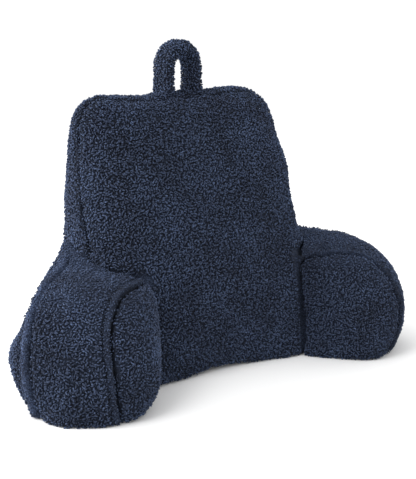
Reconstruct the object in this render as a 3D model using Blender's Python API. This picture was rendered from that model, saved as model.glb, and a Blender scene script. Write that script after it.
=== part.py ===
"""Reading pillow with arms: a wedge back, two round-ended arms and a carrying loop.

Metres, +Z up, front towards -Y. The floor is Z = 0 and the middle of the width is X = 0.
Every sewn piece is one filled solid. A cushion is a front panel and a rear panel joined all
round by a side band; the seams between them are drawn in and the panels stand proud of them.
"""
import math

import bmesh
import bpy
import numpy as np

for old_object in list(bpy.data.objects):
    bpy.data.objects.remove(old_object, do_unlink=True)

# ---- fit between neighbouring pieces -------------------------------------------------
PIECE_GAP = 0.00036         # a piece is grown by this before it cuts its neighbour

# ---- back cushion --------------------------------------------------------------------
BACK_HEIGHT = 0.471
BACK_BELOW_FLOOR = 0.02    # how far the round shape runs on below the flat foot
BACK_HALF_WIDTH_LOW = 0.216
BACK_HALF_WIDTH_TOP = 0.208
BACK_HALF_WIDTH_SWELL = 0.0095
BACK_CORNER_RADIUS = 0.058
BACK_FRONT_LOW_Y = -0.0348   # front seam at the floor, in the middle of the width
BACK_FRONT_TOP_Y = 0.0582    # front seam at the top
BACK_THICK_LOW = 0.22
BACK_THICK_TOP = 0.058
BACK_FRONT_CROWN = 0.075
BACK_FRONT_FLATNESS = 3.7    # higher is flatter in the middle and rounder at the sides
BACK_FRONT_FLATNESS_UP = 1.9
BACK_REAR_CROWN = 0.022
BACK_BAND_CROWN = 0.007
BACK_PANEL_OVERHANG = 0.0105  # share of the half width a panel swells past its seam
BACK_REAR_TAPER = 0.76       # loss of width per metre of depth
BACK_FOOT_WRAP = 0.036       # how far the low front corners come forward
BACK_TOP_WRAP = 0.031        # how far the upper sides sweep back
BACK_TOP_HUMPS = (           # uneven top edge: middle x, half length, rise
    (0.116, 0.065, 0.009),
    (-0.146, 0.040, 0.003),
)
HUMP_START_Z = 0.339
FOOT_WRAP_HEIGHT = 0.287
FOOT_WRAP_POWER = 1.14
TOP_WRAP_POWER = 2.5
BACK_REAR_FLATNESS = 2.4
BACK_MIDDLE_SHARE = 0.45     # height of the panels' middle, as a share of the height
BACK_BAND_STATIONS = (0.10, 0.27, 0.50, 0.73, 0.90)  # shares of the side band's depth
BAND_ROUNDNESS = 0.6         # lower is boxier across a side band

# ---- arms ----------------------------------------------------------------------------
ARM_SPLAY_DEG = 49.3        # turn of an arm out from straight ahead
ARM_ROOT_X = 0.152
ARM_ROOT_Y = 0.0502
ARM_LENGTH = 0.268
ARM_INSIDE_BACK = 0.030     # how far the root starts inside the back before it is cut off
ARM_HEIGHT_ROOT = 0.217
ARM_ROOT_DROP_INNER = 0.034  # how far the inner seam dips towards the back
ARM_ROOT_RISE_OUTER = 0.031  # how far the outer seam climbs the side of the back
ROOT_DROP_LENGTH = 0.200
ROOT_RISE_LENGTH = 0.112
ROOT_RISE_POWER = 1.8
ARM_HEIGHT_FRONT = 0.199
ARM_BELOW_FLOOR = 0.034
ARM_NOSE_LENGTH = 0.126     # length of the rounded upper front
ARM_NOSE_HEIGHT = 0.082     # height of the foremost point
ARM_HALF_WIDTHS = (0.0640, 0.0675)   # from the middle plane to the inner and the outer seam
ARM_ROOT_FLARES = (0.0, 0.0225)      # extra half width at the root
ARM_FLARE_POWER = 1.3
ARM_TOP_FLARE = 0.022           # the inner seam's extra flare on top of the arm
ARM_TOP_FLARE_Z = (0.13, 0.19)
ARM_NOSE_START = 0.13           # from here to the nose's full depth the band leans and swells
ARM_NOSE_DEPTH = 0.09
ARM_FOOT_LEANS = (0.018, 0.010)      # how far the foot of each seam stands in towards the lap
ARM_LEAN_HEIGHT = 0.13
ARM_NOSE_SWELL = 0.010          # extra half width of the band in the middle of the nose
ARM_SWELL_Z = 0.085
ARM_SWELL_HALF = 0.075
ARM_INNER_CROWN = 0.0545
ARM_OUTER_CROWNS = (0.030, 0.0075)   # of the outer panel, along the arm and at the nose
ARM_NOSE_CROWN_START = 0.09     # from here on the outer crown falls to its value at the nose
ARM_NOSE_CROWN_LENGTH = 0.10
ARM_OUTER_SAG = 0.046           # crown low on the outer panel, where the filling has settled
ARM_SAG_Z = 0.088
ARM_SAG_HALF_UP = 0.036
ARM_SAG_HALF_DOWN = 0.068
ARM_INNER_CROWN_START = 0.078   # distance along the arm where the inner panel leaves the back
ARM_OUTER_CROWN_START = -0.014
ARM_OUTER_FOOT_Z = -0.034       # height where the outer panel starts to swell
ARM_BAND_CROWN_FRONT = 0.0185
ARM_BAND_CROWN_TOP = 0.011
ARM_FOOT_CROWN_HEIGHT = 0.09    # height below which the foot crown is added
ARM_PANEL_OVERHANG = 0.0105
ARM_FLATNESS_ALONG = 2.2
ARM_FLATNESS_UP = 2.4
ARM_NOSE_EDGE_FLATNESS = 6.0
ARM_MIDDLE_SHARES = (0.5, 0.45)  # middle of the panels, along the arm and up
NOSE_CORNER_DEG = 48.0      # where the top path of the panel ends on the rounded nose
HEEL_CORNER_DEG = -64.0     # where the foot path of the panel ends on the rounded heel
ARMS = (  # name, side, height where the inner panel swells, length of the lower front, foot crown
    ("arm_left", -1, -0.012, 0.066, 0.013),
    ("arm_right", 1, -0.034, 0.076, 0.0),
)

# ---- sewn edge of the arms: a narrow raised strip beside each seam -------------------
STRIP_MIDDLE = 0.006        # distance from the seam to the top of the strip
STRIP_OUTER_LINE = 0.012    # distance from the seam to the second stitched line
STRIP_HEIGHT = 0.0030
STRIP_LINE_DEPTH = 0.0005
BAND_SHOULDER = 0.020       # distance from the seam where the band is fully round

# ---- carrying loop -------------------------------------------------------------------
LOOP_WIDTH = 0.0595          # between the middles of the two legs
LOOP_RISE = 0.0875           # from the top of the back to the middle of the strap
LOOP_BEND_HEIGHT = 0.037
LOOP_STRAP_WIDTH = 0.051
LOOP_STRAP_THICK = 0.0215
STRAP_SQUARENESS = (0.6, 0.75)  # lower is squarer, across the strap and through it
LOOP_ROOT_DEPTH = 0.030     # how far the legs start inside the back before they are cut off
LOOP_SETBACK = -0.0035       # from the middle of the top band

# ---- fineness ------------------------------------------------------------------------
BACK_CELLS_ACROSS = 24
BACK_CELLS_UP = 24
ARM_CELLS_ALONG = 20
ARM_CELLS_UP = 15
LOOP_STATIONS = 30
LOOP_SECTION_POINTS = 16
ARC_POINTS = 24
PLANE_TOLERANCE = 1e-6
MERGE_DISTANCE = 0.0001
FOOT_SNAP = 0.0025          # points this close to the floor are laid on it

PILE_BLUE = (0.030, 0.040, 0.068, 1.0)
PILE_ROUGHNESS = 0.95


def eased(value, power):
    """Fullness across a panel: 1 in the middle, 0 at both edges, steep near the edges."""
    return np.clip(1.0 - np.abs(value) ** power, 0.0, 1.0)


def spread(count):
    """Positions from 0 to 1, somewhat closer together near both ends."""
    even = np.arange(count + 1) / count
    bunched = (1.0 - np.cos(np.pi * even)) / 2.0
    return 0.45 * even + 0.55 * bunched


def length_shares(path):
    """How far along a path each of its points lies, from 0 to 1."""
    steps = np.linalg.norm(np.diff(path, axis=0), axis=1)
    run = np.concatenate([[0.0], np.cumsum(steps)])
    return run / run[-1]


def along(path, shares):
    """Points at the given shares of the length of a path."""
    run = length_shares(path)
    return np.stack([np.interp(shares, run, path[:, k]) for k in range(path.shape[1])], axis=1)


def arc(centre, radii, start_deg, end_deg, count=ARC_POINTS):
    """Part of an ellipse."""
    turn = np.radians(np.linspace(start_deg, end_deg, count))
    return np.stack([centre[0] + radii[0] * np.cos(turn), centre[1] + radii[1] * np.sin(turn)], axis=1)


def filled_sheet(low, high, left, right):
    """Grid of points spanning four border paths: low and high run left to right."""
    across = length_shares(low)[:, None, None]
    up = length_shares(left)[None, :, None]
    between_rows = (1 - up) * low[:, None, :] + up * high[:, None, :]
    between_sides = (1 - across) * left[None, :, :] + across * right[None, :, :]
    corners = ((1 - across) * (1 - up) * low[0] + across * (1 - up) * low[-1]
               + (1 - across) * up * high[0] + across * up * high[-1])
    return between_rows + between_sides - corners


def border_indices(columns, rows):
    """Grid places round the border, starting at the low left and running along the low edge."""
    low = [(i, 0) for i in range(columns)]
    right = [(columns, j) for j in range(rows)]
    high = [(i, rows) for i in range(columns, 0, -1)]
    left = [(0, j) for j in range(rows, 0, -1)]
    return low + right + high + left


def outward_normals(ring):
    """Directions square to a closed ring, pointing away from its middle."""
    run = np.roll(ring, -1, axis=0) - np.roll(ring, 1, axis=0)
    normal = np.stack([run[:, 1], -run[:, 0]], axis=1)
    normal /= np.linalg.norm(normal, axis=1)[:, None]
    if ((ring - ring.mean(axis=0)) * normal).sum() < 0:
        normal = -normal
    return normal


def material(name):
    """Matt navy pile cloth."""
    cloth = bpy.data.materials.new(name)
    cloth.use_nodes = True
    shader = cloth.node_tree.nodes["Principled BSDF"]
    shader.inputs["Base Color"].default_value = PILE_BLUE
    shader.inputs["Roughness"].default_value = PILE_ROUGHNESS
    shader.inputs["Metallic"].default_value = 0.0
    return cloth


def solid(name, points, faces):
    """Object from points and faces, with its faces turned outwards."""
    mesh = bpy.data.meshes.new(name)
    mesh.from_pydata([tuple(p) for p in points], [], faces)
    body = bpy.data.objects.new(name, mesh)
    bpy.context.scene.collection.objects.link(body)
    work = bmesh.new()
    work.from_mesh(mesh)
    bmesh.ops.recalc_face_normals(work, faces=work.faces)
    work.to_mesh(mesh)
    work.free()
    return body


def cushion(name, front, rings, rear):
    """Closed body from two grids of points and the rings that join their borders."""
    columns = front.shape[0] - 1
    rows = front.shape[1] - 1
    border = border_indices(columns, rows)
    count = (columns + 1) * (rows + 1)
    points = [front.reshape(-1, 3), rear.reshape(-1, 3)] + list(rings)
    faces = []
    for i in range(columns):
        for j in range(rows):
            cell = [i * (rows + 1) + j, (i + 1) * (rows + 1) + j,
                    (i + 1) * (rows + 1) + j + 1, i * (rows + 1) + j + 1]
            faces.append(cell)
            faces.append([count + k for k in reversed(cell)])
    front_edge = [i * (rows + 1) + j for i, j in border]
    loops = [front_edge]
    for number in range(len(rings)):
        first = 2 * count + number * len(border)
        loops.append([first + k for k in range(len(border))])
    loops.append([count + k for k in front_edge])
    for one, two in zip(loops[:-1], loops[1:]):
        for k in range(len(border)):
            after = (k + 1) % len(border)
            faces.append([one[k], two[k], two[after], one[after]])
    return solid(name, np.concatenate(points), faces)


def cut_flat_foot(body):
    """Takes away all that lies below the floor and closes the foot with a flat face."""
    work = bmesh.new()
    work.from_mesh(body.data)
    for vertex in work.verts:
        if abs(vertex.co.z) < FOOT_SNAP:
            vertex.co.z = 0.0
    bmesh.ops.bisect_plane(work, geom=work.verts[:] + work.edges[:] + work.faces[:], dist=PLANE_TOLERANCE,
                           plane_co=(0, 0, 0), plane_no=(0, 0, -1), clear_outer=True)
    rim = [edge for edge in work.edges if edge.is_boundary]
    bmesh.ops.contextual_create(work, geom=rim)
    bmesh.ops.recalc_face_normals(work, faces=work.faces)
    bmesh.ops.triangulate(work, faces=work.faces, quad_method="SHORT_EDGE", ngon_method="BEAUTY")
    work.to_mesh(body.data)
    work.free()


def grown_copy(body, distance):
    """Copy of a body with every point moved out by a small distance."""
    copy = bpy.data.objects.new(body.name + "_cutter", body.data.copy())
    bpy.context.scene.collection.objects.link(copy)
    work = bmesh.new()
    work.from_mesh(copy.data)
    work.normal_update()
    moves = [(v, v.normal * distance * v.calc_shell_factor()) for v in work.verts]
    for vertex, move in moves:
        vertex.co += move
    work.to_mesh(copy.data)
    work.free()
    return copy


def cut_away(body, cutter):
    """Removes the cutter's space from a body and applies the cut."""
    cutter.hide_render = True
    cutter.display_type = "WIRE"
    cut = body.modifiers.new("cut", "BOOLEAN")
    cut.operation = "DIFFERENCE"
    cut.solver = "EXACT"
    cut.object = cutter
    graph = bpy.context.evaluated_depsgraph_get()
    result = bpy.data.meshes.new_from_object(body.evaluated_get(graph))
    body.modifiers.clear()
    body.data = result
    result.name = body.name
    work = bmesh.new()
    work.from_mesh(result)
    bmesh.ops.remove_doubles(work, verts=work.verts, dist=MERGE_DISTANCE)
    bmesh.ops.dissolve_degenerate(work, dist=MERGE_DISTANCE, edges=work.edges)
    bmesh.ops.triangulate(work, faces=work.faces)
    keep_largest(work)
    bmesh.ops.recalc_face_normals(work, faces=work.faces)
    work.to_mesh(result)
    work.free()


def keep_largest(work):
    """Drops every loose scrap but the largest connected body."""
    unseen = set(work.verts)
    groups = []
    while unseen:
        stack = [unseen.pop()]
        group = []
        while stack:
            vertex = stack.pop()
            group.append(vertex)
            for edge in vertex.link_edges:
                other = edge.other_vert(vertex)
                if other in unseen:
                    unseen.discard(other)
                    stack.append(other)
        groups.append(group)
    groups.sort(key=len, reverse=True)
    for group in groups[1:]:
        bmesh.ops.delete(work, geom=group, context="VERTS")


def back_lean_y(z):
    """Depth of the front seam in the middle of the width, at a height."""
    return BACK_FRONT_LOW_Y + (BACK_FRONT_TOP_Y - BACK_FRONT_LOW_Y) * z / BACK_HEIGHT


def back_front_y(points):
    """Front seam depth of the back: leaning, wrapped forward at the foot, back at the top."""
    x = points[..., 0]
    z = points[..., 1]
    low = np.clip(1.0 - z / FOOT_WRAP_HEIGHT, 0.0, 1.2) ** FOOT_WRAP_POWER
    forward = BACK_FOOT_WRAP * (x / BACK_HALF_WIDTH_LOW) ** 2 * low
    side = np.clip(np.abs(x) / BACK_HALF_WIDTH_TOP, 0.0, 1.0)
    backward = BACK_TOP_WRAP * side ** TOP_WRAP_POWER * (1.0 - np.minimum(low, 1.0))
    return back_lean_y(z) - forward + backward


def back_thickness(z):
    """Depth of the side band of the back at a height."""
    return BACK_THICK_LOW + (BACK_THICK_TOP - BACK_THICK_LOW) * z / BACK_HEIGHT


def back_half_width(z):
    """Half width of the back panels at a height."""
    share = np.clip(z / BACK_HEIGHT, 0.0, 1.0)
    straight = BACK_HALF_WIDTH_LOW + (BACK_HALF_WIDTH_TOP - BACK_HALF_WIDTH_LOW) * z / BACK_HEIGHT
    return straight + BACK_HALF_WIDTH_SWELL * np.sin(np.pi * share)


def back_sheet():
    """Flat layout of a back panel as a grid of (x, z)."""
    shoulder_z = BACK_HEIGHT - BACK_CORNER_RADIUS
    heights = np.linspace(-BACK_BELOW_FLOOR, shoulder_z, 30)
    wall = np.stack([back_half_width(heights), heights], axis=1)
    centre = (back_half_width(shoulder_z) - BACK_CORNER_RADIUS, shoulder_z)
    radii = (BACK_CORNER_RADIUS, BACK_CORNER_RADIUS)
    right = along(np.concatenate([wall, arc(centre, radii, 0, 45)[1:]]), spread(BACK_CELLS_UP))
    left = right * [-1, 1]
    right_top = np.concatenate([[[0.0, BACK_HEIGHT]], arc(centre, radii, 90, 45)])
    whole_top = np.concatenate([right_top[:0:-1] * [-1, 1], right_top])
    high = along(whole_top, spread(BACK_CELLS_ACROSS))
    low = along(np.stack([left[0], right[0]]), spread(BACK_CELLS_ACROSS))
    sheet = filled_sheet(low, high, left, right)
    x = sheet[..., 0]
    hump = np.zeros_like(x)
    for middle_x, half_length, rise in BACK_TOP_HUMPS:
        hump += rise * np.exp(-((x - middle_x) / half_length) ** 2)
    near_top = np.clip((sheet[..., 1] - HUMP_START_Z) / (BACK_HEIGHT - HUMP_START_Z), 0.0, 1.0)
    sheet[..., 1] += hump * near_top ** 2
    return sheet


def swell(sheet, fullness, overhang, anchor):
    """Moves the panel near its edge past the seam, as a full cushion does."""
    push = 4.0 * fullness * (1.0 - fullness)
    return anchor + (sheet - anchor) * (1.0 + overhang * push)[..., None]


def taper(points, depth):
    """Narrows the back towards its rear."""
    narrowed = points.copy()
    narrowed[..., 0] *= 1.0 - BACK_REAR_TAPER * depth
    return narrowed


def build_back():
    """Wedge back cushion with a flat foot."""
    sheet = back_sheet()
    u = 2.0 * spread(BACK_CELLS_ACROSS)[:, None] - 1.0
    v = 2.0 * spread(BACK_CELLS_UP)[None, :] - 1.0
    middle = np.array([0.0, BACK_HEIGHT * BACK_MIDDLE_SHARE])
    front_full = np.sqrt(eased(u, BACK_FRONT_FLATNESS) * eased(v, BACK_FRONT_FLATNESS_UP))
    front = swell(sheet, front_full, BACK_PANEL_OVERHANG, middle)
    front_y = back_front_y(front) - BACK_FRONT_CROWN * front_full
    rear_full = np.sqrt(eased(u, BACK_REAR_FLATNESS) * eased(v, BACK_REAR_FLATNESS))
    rear = swell(sheet, rear_full, BACK_PANEL_OVERHANG, middle)
    depth = back_thickness(rear[..., 1])
    rear_y = back_lean_y(rear[..., 1]) + depth + BACK_REAR_CROWN * rear_full
    rear = taper(rear, depth)
    edge = np.array([sheet[i, j] for i, j in border_indices(BACK_CELLS_ACROSS, BACK_CELLS_UP)])
    normal = outward_normals(edge)
    depth = back_thickness(edge[:, 1])
    seam_front = back_front_y(edge)
    seam_rear = back_lean_y(edge[:, 1]) + depth
    rings = []
    for share in BACK_BAND_STATIONS:
        out = band_crown(share, BACK_BAND_CROWN)
        ring = taper(edge + normal * out, depth * share)
        ring_y = seam_front * (1.0 - share) + seam_rear * share
        rings.append(np.stack([ring[:, 0], ring_y, ring[:, 1]], axis=1))
    front_grid = np.stack([front[..., 0], front_y, front[..., 1]], axis=-1)
    rear_grid = np.stack([rear[..., 0], rear_y, rear[..., 1]], axis=-1)
    body = cushion("back_cushion", front_grid, rings, rear_grid)
    cut_flat_foot(body)
    return body


def arm_sheet(heel_length):
    """Flat layout of an arm panel as a grid of (distance along the arm, z)."""
    nose_centre = (ARM_LENGTH - ARM_NOSE_LENGTH, ARM_NOSE_HEIGHT)
    nose_radii = (ARM_NOSE_LENGTH, ARM_HEIGHT_FRONT - ARM_NOSE_HEIGHT)
    heel_centre = (ARM_LENGTH - heel_length, ARM_NOSE_HEIGHT)
    heel_radii = (heel_length, ARM_NOSE_HEIGHT + ARM_BELOW_FLOOR)
    root_low = [-ARM_INSIDE_BACK, -ARM_BELOW_FLOOR]
    root_high = [-ARM_INSIDE_BACK, ARM_HEIGHT_ROOT]
    high_path = np.concatenate([[root_high], arc(nose_centre, nose_radii, 90, NOSE_CORNER_DEG)])
    low_path = np.concatenate([[root_low], arc(heel_centre, heel_radii, -90, HEEL_CORNER_DEG)])
    lower_front = arc(heel_centre, heel_radii, HEEL_CORNER_DEG, 0)
    upper_front = arc(nose_centre, nose_radii, 0, NOSE_CORNER_DEG)
    front_path = np.concatenate([lower_front, upper_front[1:]])
    high = along(high_path, spread(ARM_CELLS_ALONG))
    low = along(low_path, spread(ARM_CELLS_ALONG))
    front = along(front_path, spread(ARM_CELLS_UP))
    root = along(np.array([root_low, root_high]), spread(ARM_CELLS_UP))
    return filled_sheet(low, high, root, front)


def arm_fullness(sheet, start, foot_z):
    """Fullness of an arm panel, from where it leaves the back and from a line at its foot."""
    share = np.clip((sheet[..., 0] - start) / (ARM_LENGTH - start), 0.0, 1.0)
    lengthwise = eased(2.0 * share - 1.0, ARM_FLATNESS_ALONG)
    top_z = sheet[:, -1:, 1]
    rise = np.clip((sheet[..., 1] - foot_z) / (top_z - foot_z), 0.0, 1.0)
    upward = eased(2.0 * rise - 1.0, ARM_FLATNESS_UP)
    to_nose = np.clip(2.0 * spread(ARM_CELLS_ALONG)[:, None] - 1.0, 0.0, 1.0)
    return np.sqrt(lengthwise * upward * eased(to_nose, ARM_NOSE_EDGE_FLATNESS))


def arm_place(points, sideways, side):
    """Puts (distance along, z) points and sideways offsets into the room."""
    splay = math.radians(ARM_SPLAY_DEG)
    ahead = np.array([math.sin(splay), -math.cos(splay)])
    outward = np.array([math.cos(splay), math.sin(splay)])
    flat = (np.array([ARM_ROOT_X, ARM_ROOT_Y]) + points[..., :1] * ahead
            + np.asarray(sideways)[..., None] * outward)
    return np.stack([side * flat[..., 0], flat[..., 1], points[..., 1]], axis=-1)


def bell(offset, half):
    """1 in the middle, falling off smoothly on both sides."""
    return np.exp(-(offset / half) ** 2)


def arm_seam(points, panel):
    """Distance of a seam from the arm's middle plane: panel 0 is the inner one, 1 the outer."""
    along_arm = points[..., 0]
    z = points[..., 1]
    at_nose = np.clip((along_arm - ARM_NOSE_START) / ARM_NOSE_DEPTH, 0.0, 1.0)
    toward_root = np.clip(1.0 - along_arm / ARM_LENGTH, 0.0, 1.2) ** ARM_FLARE_POWER
    on_top = np.clip((z - ARM_TOP_FLARE_Z[0]) / (ARM_TOP_FLARE_Z[1] - ARM_TOP_FLARE_Z[0]), 0.0, 1.0)
    flare = ARM_ROOT_FLARES[panel] + ARM_TOP_FLARE * on_top * (1 - panel)
    swelling = ARM_NOSE_SWELL * bell(z - ARM_SWELL_Z, ARM_SWELL_HALF) * at_nose
    low = np.clip(1.0 - z / ARM_LEAN_HEIGHT, 0.0, 1.0) * at_nose
    inward = ARM_FOOT_LEANS[panel] * low * (1 - 2 * panel)
    return ARM_HALF_WIDTHS[panel] + flare * toward_root + swelling + inward


def root_shaped(points, outer_share):
    """Bends the top of the arm near its root: down at the inner seam, up at the outer one."""
    height_share = np.clip(points[..., 1] / ARM_HEIGHT_ROOT, 0.0, 1.0)
    toward_root = np.clip(1.0 - points[..., 0] / ROOT_DROP_LENGTH, 0.0, 1.0)
    near_root = np.clip(1.0 - points[..., 0] / ROOT_RISE_LENGTH, 0.0, 1.0)
    drop = ARM_ROOT_DROP_INNER * toward_root * (1.0 - outer_share)
    rise = ARM_ROOT_RISE_OUTER * near_root ** ROOT_RISE_POWER * outer_share
    bent = points.copy()
    bent[..., 1] += (rise - drop) * height_share
    return bent


def band_crown(share, crown):
    """Height of a rounded side band over its two seams, at a share of its width."""
    return crown * (4.0 * share * (1.0 - share)) ** BAND_ROUNDNESS


def build_arm(name, side, inner_foot_z, heel_length, foot_crown, cutter):
    """Round-ended arm with a flat foot, cut to lie against the back."""
    sheet = arm_sheet(heel_length)
    middle = np.array([ARM_LENGTH * ARM_MIDDLE_SHARES[0], ARM_HEIGHT_FRONT * ARM_MIDDLE_SHARES[1]])
    inner_full = arm_fullness(sheet, ARM_INNER_CROWN_START, inner_foot_z)
    outer_full = arm_fullness(sheet, ARM_OUTER_CROWN_START, ARM_OUTER_FOOT_Z)
    inner_sheet = swell(sheet, inner_full, ARM_PANEL_OVERHANG, middle)
    outer_sheet = swell(sheet, outer_full, ARM_PANEL_OVERHANG, middle)
    inner_sheet = root_shaped(inner_sheet, 0.0)
    outer_sheet = root_shaped(outer_sheet, 1.0)
    over_sag = sheet[..., 1] - ARM_SAG_Z
    sag = bell(over_sag, np.where(over_sag > 0, ARM_SAG_HALF_UP, ARM_SAG_HALF_DOWN))
    near_nose = np.clip((sheet[..., 0] - ARM_NOSE_CROWN_START) / ARM_NOSE_CROWN_LENGTH, 0.0, 1.0)
    outer_crown = ARM_OUTER_CROWNS[0] * (1.0 - near_nose) + ARM_OUTER_CROWNS[1] * near_nose
    outer_crown += (ARM_OUTER_SAG - outer_crown) * sag
    inner = arm_place(inner_sheet, -arm_seam(sheet, 0) - ARM_INNER_CROWN * inner_full, side)
    outer = arm_place(outer_sheet, arm_seam(sheet, 1) + outer_crown * outer_full, side)
    border = border_indices(ARM_CELLS_ALONG, ARM_CELLS_UP)
    edge = np.array([sheet[i, j] for i, j in border])
    normal = outward_normals(edge)
    upward = np.clip(normal[:, 1], 0.0, 1.0)
    crown = ARM_BAND_CROWN_FRONT * (1.0 - upward) + ARM_BAND_CROWN_TOP * upward
    crown += foot_crown * np.clip(1.0 - edge[:, 1] / ARM_FOOT_CROWN_HEIGHT, 0.0, 1.0)
    from_inner = -arm_seam(edge, 0)
    from_outer = arm_seam(edge, 1)
    width = from_outer - from_inner
    stations = [  # metres from a seam, share of the width, lift above the round band
        (STRIP_MIDDLE, 0.0, STRIP_HEIGHT),
        (STRIP_OUTER_LINE, 0.0, -STRIP_LINE_DEPTH),
        (BAND_SHOULDER, 0.0, 0.0),
        (0.0, 0.50, 0.0),
        (-BAND_SHOULDER, 1.0, 0.0),
        (-STRIP_OUTER_LINE, 1.0, -STRIP_LINE_DEPTH),
        (-STRIP_MIDDLE, 1.0, STRIP_HEIGHT),
    ]
    rings = []
    for metres, share, lift in stations:
        from_seam = metres + share * width
        out = band_crown(from_seam / width, crown) + lift
        ring = root_shaped(edge + normal * out[:, None], from_seam / width)
        rings.append(arm_place(ring, from_inner + from_seam, side))
    body = cushion(name, inner, rings, outer)
    cut_flat_foot(body)
    cut_away(body, cutter)
    return body


def build_loop(cutter):
    """Carrying loop: a padded strap bent into an arch, its legs ending on the back."""
    half = LOOP_WIDTH / 2.0
    spring = BACK_HEIGHT + LOOP_RISE - LOOP_BEND_HEIGHT
    bend = arc((0.0, spring), (half, LOOP_BEND_HEIGHT), 180, 0, 40)
    foot = BACK_HEIGHT - LOOP_ROOT_DEPTH
    path = np.concatenate([[[-half, foot]], bend, [[half, foot]]])
    path = along(path, np.linspace(0.0, 1.0, LOOP_STATIONS + 1))
    run = np.gradient(path, axis=0)
    run /= np.linalg.norm(run, axis=1)[:, None]
    outward = np.stack([-run[:, 1], run[:, 0]], axis=1)
    turn = 2.0 * np.pi * (np.arange(LOOP_SECTION_POINTS) + 0.5) / LOOP_SECTION_POINTS
    cosine = np.cos(turn)
    sine = np.sin(turn)
    across = np.sign(cosine) * np.abs(cosine) ** STRAP_SQUARENESS[0] * LOOP_STRAP_WIDTH / 2.0
    thick = np.sign(sine) * np.abs(sine) ** STRAP_SQUARENESS[1] * LOOP_STRAP_THICK / 2.0
    middle_y = BACK_FRONT_TOP_Y + BACK_THICK_TOP / 2.0 + LOOP_SETBACK
    points = []
    for place, out in zip(path, outward):
        for side_step, thick_step in zip(across, thick):
            points.append((place[0] + out[0] * thick_step, middle_y + side_step,
                           place[1] + out[1] * thick_step))
    faces = []
    ring = LOOP_SECTION_POINTS
    for station in range(LOOP_STATIONS):
        for k in range(ring):
            after = (k + 1) % ring
            faces.append([station * ring + k, station * ring + after,
                          (station + 1) * ring + after, (station + 1) * ring + k])
    faces.append(list(range(ring)))
    faces.append([LOOP_STATIONS * ring + k for k in reversed(range(ring))])
    body = solid("handle_loop", points, faces)
    cut_away(body, cutter)
    return body


def finish(body, slot):
    """Gives a piece its cloth and smooth shading."""
    body.data.materials.clear()
    body.data.materials.append(material(slot))
    for polygon in body.data.polygons:
        polygon.use_smooth = True


back = build_back()
back_cutter = grown_copy(back, PIECE_GAP)
for name, side, inner_foot_z, heel_length, foot_crown in ARMS:
    arm = build_arm(name, side, inner_foot_z, heel_length, foot_crown, back_cutter)
    finish(arm, "pile_" + name)
loop = build_loop(back_cutter)
bpy.data.objects.remove(back_cutter, do_unlink=True)
finish(back, "pile_back")
finish(loop, "pile_handle")
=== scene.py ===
# %% [markdown]
# # A reading pillow with arms, dressed in curly navy pile
# The pillow is four sewn and filled pieces: a wedge-shaped back, two round-ended arms and a
# carrying loop. The solids of the frame hold their sizes and places. This lesson gives each one
# its real look: a filled shape puffed up by air pressure, seams drawn in afterwards, and a short
# curly pile made of some forty-five thousand modelled locks. All lengths are in metres.

# %% Load the frame
import math

import bpy
import numpy as np
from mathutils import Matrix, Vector, kdtree, noise


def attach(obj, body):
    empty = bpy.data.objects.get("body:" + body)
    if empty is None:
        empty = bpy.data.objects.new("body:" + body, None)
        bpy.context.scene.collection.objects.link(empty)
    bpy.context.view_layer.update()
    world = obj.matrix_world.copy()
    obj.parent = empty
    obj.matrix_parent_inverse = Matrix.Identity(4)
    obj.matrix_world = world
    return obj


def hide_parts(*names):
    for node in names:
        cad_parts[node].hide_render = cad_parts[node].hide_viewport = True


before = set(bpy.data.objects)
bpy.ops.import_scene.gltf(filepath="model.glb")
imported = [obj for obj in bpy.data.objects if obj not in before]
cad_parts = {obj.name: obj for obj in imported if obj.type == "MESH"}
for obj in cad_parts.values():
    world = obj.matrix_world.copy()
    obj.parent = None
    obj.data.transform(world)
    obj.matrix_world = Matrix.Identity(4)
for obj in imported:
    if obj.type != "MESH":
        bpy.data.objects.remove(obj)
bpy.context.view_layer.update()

print("frame nodes:", sorted(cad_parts))

# %% [markdown]
# ## The camera
# A product picture is taken with a long lens from a little above, so that upright edges stay
# nearly upright. The pillow is turned: its front looks past the left of the camera. Turn, pitch,
# distance and height were measured from the picture, and the lens follows from the picture's
# size. A camera looks along its own -Z, so its rotation is made from the looking direction.

# %% Camera
PICTURE_LONG_SIDE = 479        # pixels, the height of the picture
FOCAL_PIXELS = 1067.1          # focal length in the picture's own pixels
SENSOR_WIDTH = 36.0            # millimetres, laid along the picture's long side
CAMERA_TURN = math.radians(36.587)
CAMERA_PITCH = math.radians(11.954)
CAMERA_YAW = math.radians(-0.459)
CAMERA_DISTANCE = 1.8268
CAMERA_HEIGHT = 0.6164
AIM_DEPTH = -0.0328            # where the turning axis crosses the floor, along Y


def add_camera():
    """Places the camera on a circle round the pillow and points it past the pillow's middle."""
    turn = CAMERA_TURN + CAMERA_YAW
    level = math.cos(CAMERA_PITCH)
    look = Vector((math.sin(turn) * level, math.cos(turn) * level, -math.sin(CAMERA_PITCH)))
    data = bpy.data.cameras.new("picture_camera")
    data.sensor_width = SENSOR_WIDTH
    data.lens = FOCAL_PIXELS * SENSOR_WIDTH / PICTURE_LONG_SIDE
    camera = bpy.data.objects.new("picture_camera", data)
    camera.location = (-math.sin(CAMERA_TURN) * CAMERA_DISTANCE,
                       -math.cos(CAMERA_TURN) * CAMERA_DISTANCE + AIM_DEPTH, CAMERA_HEIGHT)
    camera.rotation_euler = look.to_track_quat("-Z", "Y").to_euler()
    bpy.context.scene.collection.objects.link(camera)
    bpy.context.scene.camera = camera
    return camera


camera = add_camera()
print("camera at", [round(c, 3) for c in camera.location])
print("lens:", round(camera.data.lens, 1), "mm")

# %% [markdown]
# ## The floor
# The pillow stands on a plain pale floor, wide enough for its edge to lie out of the picture. A
# plane will do, because nothing of its thickness shows. Its surface is matt, without any gloss,
# and it is staging: it belongs to the picture and not to the pillow. A material is a tree of
# nodes, so the first helper fills in the inputs of a node.

# %% Floor
FLOOR_SIDE = 80.0
FLOOR_COLOUR = (0.92, 0.92, 0.92, 1.0)


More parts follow.
